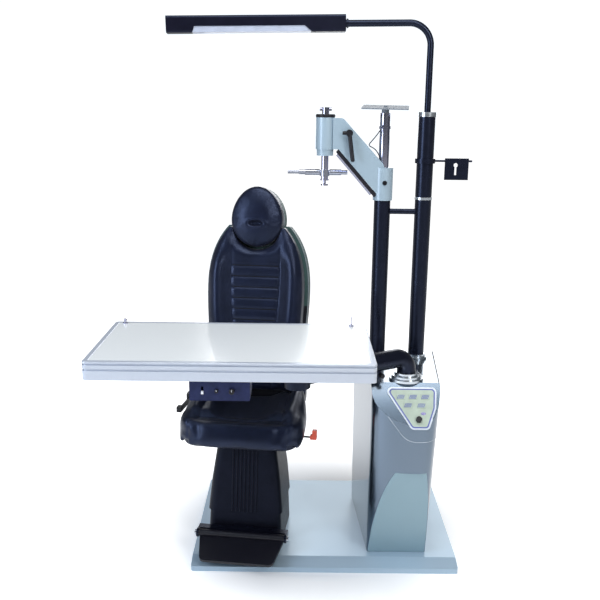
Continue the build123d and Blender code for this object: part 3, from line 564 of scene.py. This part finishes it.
def swell(obj, voxel, pressure, cap, ease, iron):
    """Remesh, cloth under pressure with no point moving further than cap, then ironed.

    ease and iron are the smoothing steps before and after the cloth.
    """
    remesh = obj.modifiers.new("remesh", "REMESH")
    remesh.mode, remesh.voxel_size, remesh.use_smooth_shade = "VOXEL", voxel, True
    apply_modifier(obj, remesh)
    soften(obj, ease)
    start = [v.co.copy() for v in obj.data.vertices]
    cloth = obj.modifiers.new("cloth", "CLOTH")
    cloth.settings.use_pressure = True
    cloth.settings.uniform_pressure_force = pressure
    cloth.settings.effector_weights.gravity = 0
    for step in range(1, CLOTH_STEPS + 1):
        scene.frame_set(step)
    apply_modifier(obj, cloth)
    scene.frame_set(1)
    for vertex, before in zip(obj.data.vertices, start):
        move = vertex.co - before
        if move.length > cap:
            vertex.co = before + move * (cap / move.length)
    soften(obj, iron)


def soften(obj, steps):
    smooth = obj.modifiers.new("soften", "SMOOTH")
    smooth.factor, smooth.iterations = 0.5, steps
    apply_modifier(obj, smooth)


def sculpt(obj, change):
    """Moves each vertex by a function of its place and normal."""
    mesh = obj.data
    normals = [v.normal.copy() for v in mesh.vertices]
    for vertex, normal in zip(mesh.vertices, normals):
        vertex.co = change(vertex.co.copy(), normal)
    mesh.update()


def finish_pad(obj, body):
    sub = obj.modifiers.new("sub", "SUBSURF")
    sub.levels = sub.render_levels = 1
    apply_modifier(obj, sub)
    obj.data.polygons.foreach_set("use_smooth", [True] * len(obj.data.polygons))
    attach(obj, body)


def bell(distance, width):
    """1 at distance 0, falling smoothly to nothing at a few widths."""
    return math.exp(-(distance / width) ** 2)


def step_up(value, low, high):
    """0 below low, 1 above high, smooth between."""
    t = min(1.0, max(0.0, (value - low) / (high - low)))
    return t * t * (3 - 2 * t)


CHANNEL_PITCH = 0.0431
CHANNELS = [0.330 + CHANNEL_PITCH * k for k in range(6)]      # sewn channels, up the backrest
CHANNEL_TOP = CHANNELS[-1]
CHANNEL_DEEP, CHANNEL_WIDE, RIB_HIGH = 0.0045, 0.0030, 0.0030
HALF_LOW, HALF_HIGH = 0.072, 0.094           # half width of the sewn panel at its foot and head
BACK_BOLSTER = 0.036                         # how far the side bolsters stand out
YOKE_HIGH = 0.006                            # how far the part above the channels stands out
NECK_R, NECK_WIDE, NECK_DEEP = 0.112, 0.020, 0.006     # hollow round the headrest


def panel_half(y):
    """Half width of the sewn panel at a height."""
    return HALF_LOW + (HALF_HIGH - HALF_LOW) * step_up(y, 0.10, 0.50)


def level_front(co):
    """The backrest pad without its raised bolsters."""
    co.z = min(co.z, 0.0)
    return co


def back_half(y):
    """Half width of the backrest pad at a height."""
    return 0.168 + 0.038 * step_up(y, 0.02, 0.40) - 0.055 * step_up(y, 0.50, 0.68)


def back_form(co, normal):
    """Channelled middle, full side bolsters that run into the shoulders, smooth yoke."""
    front = step_up(normal.z, 0.0, 0.6)
    half = panel_half(co.y)
    across = abs(co.x)
    inside = 1 - step_up(across, half - 0.004, half + 0.006)
    groove = max(bell(co.y - c, CHANNEL_WIDE) for c in CHANNELS)
    rib = 0.0
    if co.y < CHANNEL_TOP:
        rib = abs(math.sin(math.pi * (co.y - CHANNELS[0]) / CHANNEL_PITCH)) ** 0.6
    lift = inside * (RIB_HIGH * rib - CHANNEL_DEEP * groove)
    run = step_up(co.y, 0.03, 0.10) * (1 - step_up(co.y, 0.55, 0.68))
    spread = step_up(across, half - 0.002, half + 0.070)
    edge = 1 - step_up(across, back_half(co.y) - 0.075, back_half(co.y) + 0.008)
    lift += BACK_BOLSTER * run * spread * (0.20 + 0.80 * edge)
    lift -= 0.003 * run * bell(across - half - 0.004, 0.006)
    yoke = step_up(co.y, CHANNEL_TOP + 0.01, CHANNEL_TOP + 0.06) * (1 - spread)
    lift += YOKE_HIGH * yoke
    lift -= NECK_DEEP * bell(Vector((co.x, co.y - HEAD_H)).length - NECK_R, NECK_WIDE)
    co.z += front * lift
    return co


def back_cushion():
    obj = pad_of("backrest_leather", {"back_cushion": 1}, BACK, level_front)
    swell(obj, voxel=0.006, pressure=3, cap=0.010, ease=14, iron=10)
    sculpt(obj, back_form)
    finish_pad(obj, "backrest")
    return obj


DIMPLE_H, DIMPLE_WIDE, DIMPLE_HIGH = 0.712, 0.026, 0.0095     # height, half width and half height
DIMPLE_DEEP = 0.016
HEAD_GROWTH = 1.03
HEAD_CROWN = 0.016


def head_form(co, normal):
    """A full egg with a pressed oval dimple."""
    front = step_up(normal.z, 0.0, 0.5)
    co.x *= HEAD_GROWTH
    co.y = HEAD_H + (co.y - HEAD_H) * HEAD_GROWTH
    middle = Vector((co.x / 0.10, (co.y - HEAD_H - 0.02) / 0.118)).length
    co.z += front * HEAD_CROWN * (1 - min(1.0, middle) ** 2)
    slot = (abs(co.x / DIMPLE_WIDE) ** 2.6 + abs((co.y - DIMPLE_H) / DIMPLE_HIGH) ** 2.6) ** (1 / 2.6)
    co.z -= front * DIMPLE_DEEP * (1 - step_up(slot, 0.6, 1.25))
    co.z += front * 0.0025 * bell(slot - 1.55, 0.3)
    return co


def headrest():
    obj = pad_of("headrest_leather", {"headrest_cushion": 1}, BACK)
    swell(obj, voxel=0.004, pressure=2, cap=0.006, ease=6, iron=10)
    sculpt(obj, head_form)
    finish_pad(obj, "headrest")


SEAT_TOP = 0.575
SEAT_CLIMB = 0.030                           # rise from the middle of the seat to its side crests
SEAT_DISH = 0.010
CREST_X = 0.198
ROLL_CREASE, ROLL_CREST = -0.258, -0.300     # along the seat, of its front roll
CREASE_DEEP, ROLL_RISE = 0.007, 0.006
PANEL_SEAM_X, CORNER_SEAM_X = 0.155, 0.186


def seat_form(co, normal):
    """Bucket: a dished middle that climbs to round side crests, behind one front roll."""
    side = abs(co.x)
    top = step_up(co.z, 0.535, 0.565)
    behind = step_up(co.y, -0.29, -0.22)
    slope = step_up(side, 0.060, 0.160) * (1 - step_up(side, 0.165, 0.205))
    co.z += top * SEAT_CLIMB * behind * slope
    floor = SEAT_TOP + SEAT_CLIMB * behind
    if co.z > floor:
        co.z -= (co.z - floor) * (1 - step_up(side, 0.150, 0.200)) * 0.92
    co.z -= top * SEAT_DISH * behind * bell(co.x, 0.10)
    co.z += top * 0.004 * bell(side - CREST_X, 0.02)
    across = 1 - step_up(side, 0.150, 0.185)
    co.z -= top * CREASE_DEEP * across * bell(co.y - ROLL_CREASE, 0.007)
    co.z += top * ROLL_RISE * bell(co.y - ROLL_CREST, 0.022)
    co.z -= top * 0.003 * bell(side - PANEL_SEAM_X, 0.006) * step_up(co.y, -0.285, -0.255)
    corner = bell(side - CORNER_SEAM_X, 0.006) * (1 - step_up(co.y, -0.285, -0.265))
    lip = (1 - step_up(co.z, 0.515, 0.545)) * step_up(side, 0.15, 0.20)
    lip *= 1 - step_up(co.y, -0.30, -0.25)
    return co + normal * (0.007 * lip - 0.0025 * corner)


def seat_cushion():
    obj = pad_of("seat_leather", {"seat_cushion": 1.06, "seat_bolsters": 1}, CHAIR)
    swell(obj, voxel=0.006, pressure=2, cap=0.008, ease=6, iron=20)
    sculpt(obj, seat_form)
    finish_pad(obj, "seat")


STITCH_PITCH, STITCH_LONG, THREAD_R = 0.0065, 0.004, 0.00045
INTO_BACK = Vector((0, 0, -1))


def on_surface(pad, line):
    """Places and normals where a line in the backrest's frame meets a pad from the front."""
    tree = BVHTree.FromObject(pad, bpy.context.evaluated_depsgraph_get())
    hits = [tree.ray_cast(Vector(at) - INTO_BACK * 0.2, INTO_BACK) for at in line]
    return [(hit, normal) for hit, normal, _, _ in hits if hit is not None]


def stitches(name, pad, line):
    """Threads sewn into the backrest pad along a line of places in its own frame."""
    surface = on_surface(pad, line)
    bm = bmesh.new()
    walked = 0.0
    for (here, normal), (following, _) in zip(surface, surface[1:]):
        walked += (following - here).length
        if walked < STITCH_PITCH:
            continue
        walked = 0.0
        run = (following - here).normalized()
        side = normal.cross(run).normalized()
        turn = Matrix((side, normal, run)).transposed().to_4x4()
        stitch = Matrix.Translation(here + normal * THREAD_R * 0.5) @ turn
        made = bmesh.ops.create_uvsphere(bm, u_segments=6, v_segments=5, radius=1)
        scale = Matrix.Diagonal((THREAD_R, THREAD_R, STITCH_LONG / 2, 1))
        bmesh.ops.transform(bm, matrix=stitch @ scale, verts=made["verts"])
    obj = piece(name, mesh_from(name, bm), "thread", pad.matrix_world.copy())
    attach(obj, "backrest")


def level_line(half, y, count):
    """Places from side to side at one height of the backrest."""
    a, b = Vector((-half, y, 0)), Vector((half, y, 0))
    return [a.lerp(b, k / (count - 1)) for k in range(count)]


def back_stitching(pad):
    """Threads beside the sewn panel and along its topmost channel."""
    for side, name in ((-1, "left"), (1, "right")):
        line = [(side * (panel_half(y) + 0.004), y, 0) for y in [0.06 + 0.002 * k for k in range(225)]]
        stitches(f"stitch_{name}", pad, line)
    for offset, name in ((0.010, "upper"), (-0.010, "lower")):
        line = level_line(panel_half(CHANNEL_TOP) - 0.004, CHANNEL_TOP + offset, 90)
        stitches(f"stitch_{name}", pad, line)


def channel_shade_seams(pad):
    """A dark strip sunk in the bottom of each channel: partly a seam, mostly painted shade that darkens
    the channel.
    """
    for number, y in enumerate(CHANNELS, start=1):
        surface = on_surface(pad, level_line(panel_half(y) - 0.002, y, 60))
        points = [hit - normal * 0.0004 for hit, normal in surface]
        # a near-black tube along the channel bottom, painted shade in the hollow
        seam = tube(f"channel_shade_seam_{number}", points, 0.0016, "seam",
                    pad.matrix_world.copy())
        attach(seam, "backrest")


# ---------------------------------------------------------------- piping and seams
SHELL_RIMS = (("back_shell", "backrest", -0.0605), ("headrest_shell", "headrest", -0.058))
PIPING_R = 0.0017


def shell_piping():
    """Pale welts where the leather meets the moulded shells."""
    to_back = BACK.inverted()
    for node, body, depth in SHELL_RIMS:
        def on_front(edge):
            return all(abs((to_back @ v.co).z - depth) < 0.0008 for v in edge.verts)

        for number, chain in enumerate(rim_loops(node, on_front), start=1):
            if len(chain) < 6:
                continue
            points = [to_back @ p for p in chain]
            closed = (points[0] - points[-1]).length < 1e-5
            bead = tube(f"{body}_piping_{number}", points[:-1] if closed else points, PIPING_R,
                        "piping", BACK.copy(), closed)
            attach(bead, body)


SEAM = (Vector((0.060, 0.8245)), Vector((0.294, 0.525)))      # x and z of the sloping run's two ends
SEAM_R = 0.075                               # of the bend into the level run
CONSOLE_MIDDLE = Vector((0.30, -0.06, 0))


def seam_distance(x, z):
    """Distance from the seam line in the console's side view."""
    run = (SEAM[1] - SEAM[0]).normalized()
    out = Vector((-run.y, run.x))
    corner = SEAM[1]
    half = (math.pi - run.angle(Vector((1, 0)))) / 2
    bisector = (-run + Vector((1, 0))).normalized()
    centre = corner + bisector * (SEAM_R / math.sin(half))
    start, end = corner - run * (SEAM_R / math.tan(half)), corner.x + SEAM_R / math.tan(half)
    point = Vector((x, z))
    along = (point - SEAM[0]).dot(run)
    if along < (start - SEAM[0]).dot(run):
        return abs((point - SEAM[0]).dot(out))
    if x > end:
        return abs(z - corner.y)
    return abs((point - centre).length - SEAM_R)


def console_seam():
    """Fine bright bead where the cover meets the body."""
    def on_seam(edge):
        if any(seam_distance(v.co.x, v.co.z) > 0.0006 for v in edge.verts):
            return False
        middle = (edge.verts[0].co + edge.verts[1].co) / 2 - CONSOLE_MIDDLE
        skins = [f.normal for f in edge.link_faces]
        return any(abs(n.z) < 0.3 and Vector((n.x, n.y)).dot(Vector((middle.x, middle.y))) > 0.02
                   and max(seam_distance(v.co.x, v.co.z) for v in f.verts) > 0.001
                   for n, f in zip(skins, edge.link_faces))

    for number, chain in enumerate(rim_loops("console_cover", on_seam), start=1):
        if len(chain) < 4:
            continue
        bead = tube(f"console_seam_{number}", chain, 0.0009, "bezel")
        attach(bead, "base")


# ---------------------------------------------------------------- keypad
FACE_Z = (0.00305, 0.0033)                   # bottom and top of the membrane, out of the panel
BORDER_Z = (0.00302, 0.0036)
MARK_Z, MARK_THICK = 0.00462, 0.0002         # of the printed marks on the keys
BAR_PITCH, BAR_HALF, BAR_STEP, BAR_THIN = 0.0040, 0.0105, 0.0015, 0.0011
END_X, END_Y, END_THIN = 0.0115, 0.0075, 0.0009        # place, half height and half width of the end bars
SLANT = 0.35
KEYS = [(-0.046, -0.034), (-0.001, -0.034), (0.044, -0.034), (-0.021, -0.067), (0.028, -0.067)]
KEY_HALF = (0.0160, 0.0105)
DIAL = (0.016, -0.122)
PILOT = (0.034, -0.098)
OUTLINE = [(-0.108, 0.004), (-0.012, -0.159), (0.052, -0.159), (0.082, -0.078), (0.089, 0.004)]


def shrink(points, inset):
    """A convex outline moved inward."""
    moved = []
    count = len(points)
    for k in range(count):
        before, here, after = (Vector(points[(k + d) % count]) for d in (-1, 0, 1))
        first, second = (here - before).normalized(), (after - here).normalized()
        inward_a, inward_b = Vector((-first.y, first.x)), Vector((-second.y, second.x))
        bisector = (inward_a + inward_b).normalized()
        moved.append(here + bisector * (inset / bisector.dot(inward_a)))
    return moved


def circle(centre, radius, steps=32):
    turns = [2 * math.pi * k / steps for k in range(steps)]
    return [(centre[0] + radius * math.cos(a), centre[1] + radius * math.sin(a)) for a in turns]


def box_loop(centre, half):
    x, y = centre
    return [(x - half[0], y - half[1]), (x + half[0], y - half[1]),
            (x + half[0], y + half[1]), (x - half[0], y + half[1])]


def keypad():
    """Printed membrane with its violet border, key marks, pilot lens and dial mark."""
    outer = rounded_polygon(shrink(OUTLINE, 0.006), 0.013)
    inner = rounded_polygon(shrink(OUTLINE, 0.0105), 0.010)
    holes = [box_loop(c, KEY_HALF) for c in KEYS] + [circle(DIAL, 0.0036)]
    face = sheet_with_holes("keypad_face", inner, holes, *FACE_Z, "membrane", "keypad", KEYPAD.copy())
    border = sheet_with_holes("keypad_border", outer, [inner], *BORDER_Z, "print", "keypad", KEYPAD.copy())
    lens = lathe("pilot_lens", [(0, 0.0052), (0.003, 0.0050), (0.0052, 0.0042), (0.006, 0.0030)],
                 "lens",
                 KEYPAD @ Matrix.Translation((*PILOT, 0)) @ Matrix.Diagonal((1.6, 1.0, 1, 1)))
    for obj in (face, border, lens):
        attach(obj, "base")
    for number, key in enumerate(KEYS, start=1):
        obj = piece(f"key_mark_{number}", key_mark(f"key_mark_{number}", *key), "print",
                    KEYPAD.copy())
        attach(obj, f"key_{number}")


def key_mark(name, u, v):
    """Slanted bars between two upright ones, centred on a key."""
    bm = bmesh.new()
    for bar in range(4):
        y = (bar - 1.5) * BAR_PITCH
        half = BAR_HALF - BAR_STEP * (bar % 2)
        bm.faces.new([bm.verts.new((u + SLANT * y + sx * half, v + y + sy * BAR_THIN, MARK_Z))
                      for sx, sy in ((-1, -1), (1, -1), (1, 1), (-1, 1))])
    for side in (-1, 1):
        low, high = ((side * END_X + end * SLANT * END_Y, end * END_Y) for end in (-1, 1))
        bm.faces.new([bm.verts.new((u + x + w * END_THIN, v + y, MARK_Z))
                      for (x, y), w in ((low, -1), (low, 1), (high, 1), (high, -1))])
    extruded(bm, MARK_THICK)
    return mesh_from(name, bm, smooth=False)


# ---------------------------------------------------------------- small fittings
def facing(at, direction):
    """A matrix at a place with Z along a direction."""
    return Matrix.Translation(at) @ Vector(direction).to_track_quat("Z", "Y").to_matrix().to_4x4()


def screw(name, at, direction, radius, body, finish="steel"):
    """Socket-head screw on its washer."""
    r = radius
    profile = [(r * 1.5, 0), (r * 1.5, r * 0.25), (r, r * 0.25), (r, r * 1.0), (r * 0.9, r * 1.1),
               (r * 0.5, r * 1.1), (r * 0.5, r * 0.5), (0, r * 0.5)]
    obj = lathe(name, profile, finish, facing(at, direction), 24)
    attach(obj, body)


CAP_PROFILE = [(0.0145, 0.0), (0.0365, 0.0), (0.0375, 0.002), (0.0375, 0.009), (0.035, 0.012),
               (0.022, 0.012), (0.020, 0.010), (0.0145, 0.010)]
CAP_Z = 1.6745
KNOB_Z = 0.824                               # axis of the control knobs
KNOBS = {"small_knob": -0.368, "large_knob": -0.319}


def fittings():
    """Screws, the cap of the arm's barrel and the marks on the two knobs."""
    screw("arm_screw", (0.217, 0.0585, 1.431), (0, -1, 0), 0.006, "phoropter_arm",
          "black_plastic")
    cap = lathe("barrel_cap", CAP_PROFILE, "black_plastic",
                Matrix.Translation((SHAFT.x, SHAFT.y, CAP_Z)))
    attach(cap, "phoropter_arm")
    low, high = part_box("rear_panel")
    for number, x in enumerate((low.x + 0.008, high.x - 0.008)):
        for level, z in enumerate((low.z + 0.012, (low.z + high.z) / 2, high.z - 0.012)):
            screw(f"panel_screw_{number}_{level}", (x, high.y, z), (0, 1, 0), 0.0028, "base")
    for knob, x in KNOBS.items():
        low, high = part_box(knob)
        top = 0.75 * (high.z - low.z) / 2
        at = Matrix.Translation((x, low.y - 0.0001, KNOB_Z + top / 2))
        bm = bmesh.new()
        bmesh.ops.create_cube(bm, size=1)
        bmesh.ops.transform(bm, verts=bm.verts, matrix=at @ Matrix.Diagonal((0.0016, 0.0006, top, 1)))
        bmesh.ops.bevel(bm, geom=bm.edges[:], offset=0.0002, segments=2, affect="EDGES")
        mark = piece(f"{knob}_mark", mesh_from(f"{knob}_mark", bm), "mark")
        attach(mark, knob)


# ---------------------------------------------------------------- studio
FLOOR_NEAR, FLOOR_FAR = 0.30, 0.95           # between these radii the floor fades into the backdrop
FLOOR_SHARE = 0.35                           # share of that glow that lights the object
ROOM_LIGHT, ROOM_SEEN = 0.12, 1.15           # the white room as it lights the object and as it looks


def area_light(name, at, target, size, power, colour=(1, 1, 1)):
    data = bpy.data.lights.new(name, "AREA")
    data.shape, data.size, data.size_y = "RECTANGLE", size[0], size[1]
    data.energy, data.color = power, colour
    obj = bpy.data.objects.new(name, data)
    scene.collection.objects.link(obj)
    obj.matrix_world = facing(at, Vector(at) - Vector(target))
    return obj


def studio():
    """Pale floor, white room and four soft lights."""
    bm = bmesh.new()
    bmesh.ops.create_circle(bm, cap_ends=True, segments=96, radius=30)
    floor = bpy.data.objects.new("floor", mesh_from("floor", bm, smooth=False))
    floor.location.z = -0.0006
    scene.collection.objects.link(floor)
    mat, shader = paint("floor_paint", (0.93, 0.94, 0.95), 0.6, Emission_Color=(1, 1, 1, 1))
    tint(mat, shader, clouds(mat, 3, 3), (0.92, 0.93, 0.94), (0.94, 0.95, 0.96))
    source, reach = add(mat, "TexCoord"), add(mat, "VectorMath", operation="LENGTH")
    link(mat, source.outputs["Object"], reach.inputs[0])
    span = add(mat, "MapRange", From_Min=FLOOR_NEAR, From_Max=FLOOR_FAR, interpolation_type="SMOOTHSTEP")
    link(mat, reach.outputs["Value"], span.inputs["Value"])
    seen, share = add(mat, "LightPath"), add(mat, "MapRange", To_Min=FLOOR_SHARE, To_Max=1.0)
    link(mat, seen.outputs["Is Camera Ray"], share.inputs["Value"])
    glow = add(mat, "Math", operation="MULTIPLY")
    link(mat, span.outputs["Result"], glow.inputs[0])
    link(mat, share.outputs["Result"], glow.inputs[1])
    link(mat, glow.outputs["Value"], shader.inputs["Emission Strength"])
    floor.data.materials.append(mat)
    world = bpy.data.worlds.new("world")
    world.use_nodes = True
    back = world.node_tree.nodes["Background"]
    back.inputs["Color"].default_value = (0.90, 0.95, 1.0, 1)
    path = world.node_tree.nodes.new("ShaderNodeLightPath")
    level = world.node_tree.nodes.new("ShaderNodeMapRange")
    level.inputs["To Min"].default_value, level.inputs["To Max"].default_value = ROOM_LIGHT, ROOM_SEEN
    world.node_tree.links.new(path.outputs["Is Camera Ray"], level.inputs["Value"])
    world.node_tree.links.new(level.outputs["Result"], back.inputs["Strength"])
    scene.world = world
    area_light("key", (2.0, -2.9, 2.9), (-0.1, 0, 0.8), (1.0, 1.6), 50, (1, 0.99, 0.98))
    area_light("fill", (-2.6, -1.7, 1.7), (-0.2, 0, 0.8), (1.0, 2.0), 50, (0.76, 0.85, 1))
    area_light("top", (0.1, -1.05, 3.7), (0, -0.3, 0.8), (2.4, 1.8), 60, (0.96, 0.98, 1))
    behind = area_light("behind", (0.60, 3.2, 2.2), (0.60, -0.3, 0.9), (2.9, 1.5), 46)
    behind.visible_camera = False
    scene.view_settings.view_transform = "Standard"
    scene.view_settings.exposure = 0.0


make_camera()
FINISH = make_materials()
arm_cable()
finish_nodes()
back_pad = back_cushion()
back_stitching(back_pad)
# dark strips in the channels: seams and painted shade
channel_shade_seams(back_pad)
headrest()
seat_cushion()
shell_piping()
console_seam()
keypad()
fittings()
studio()
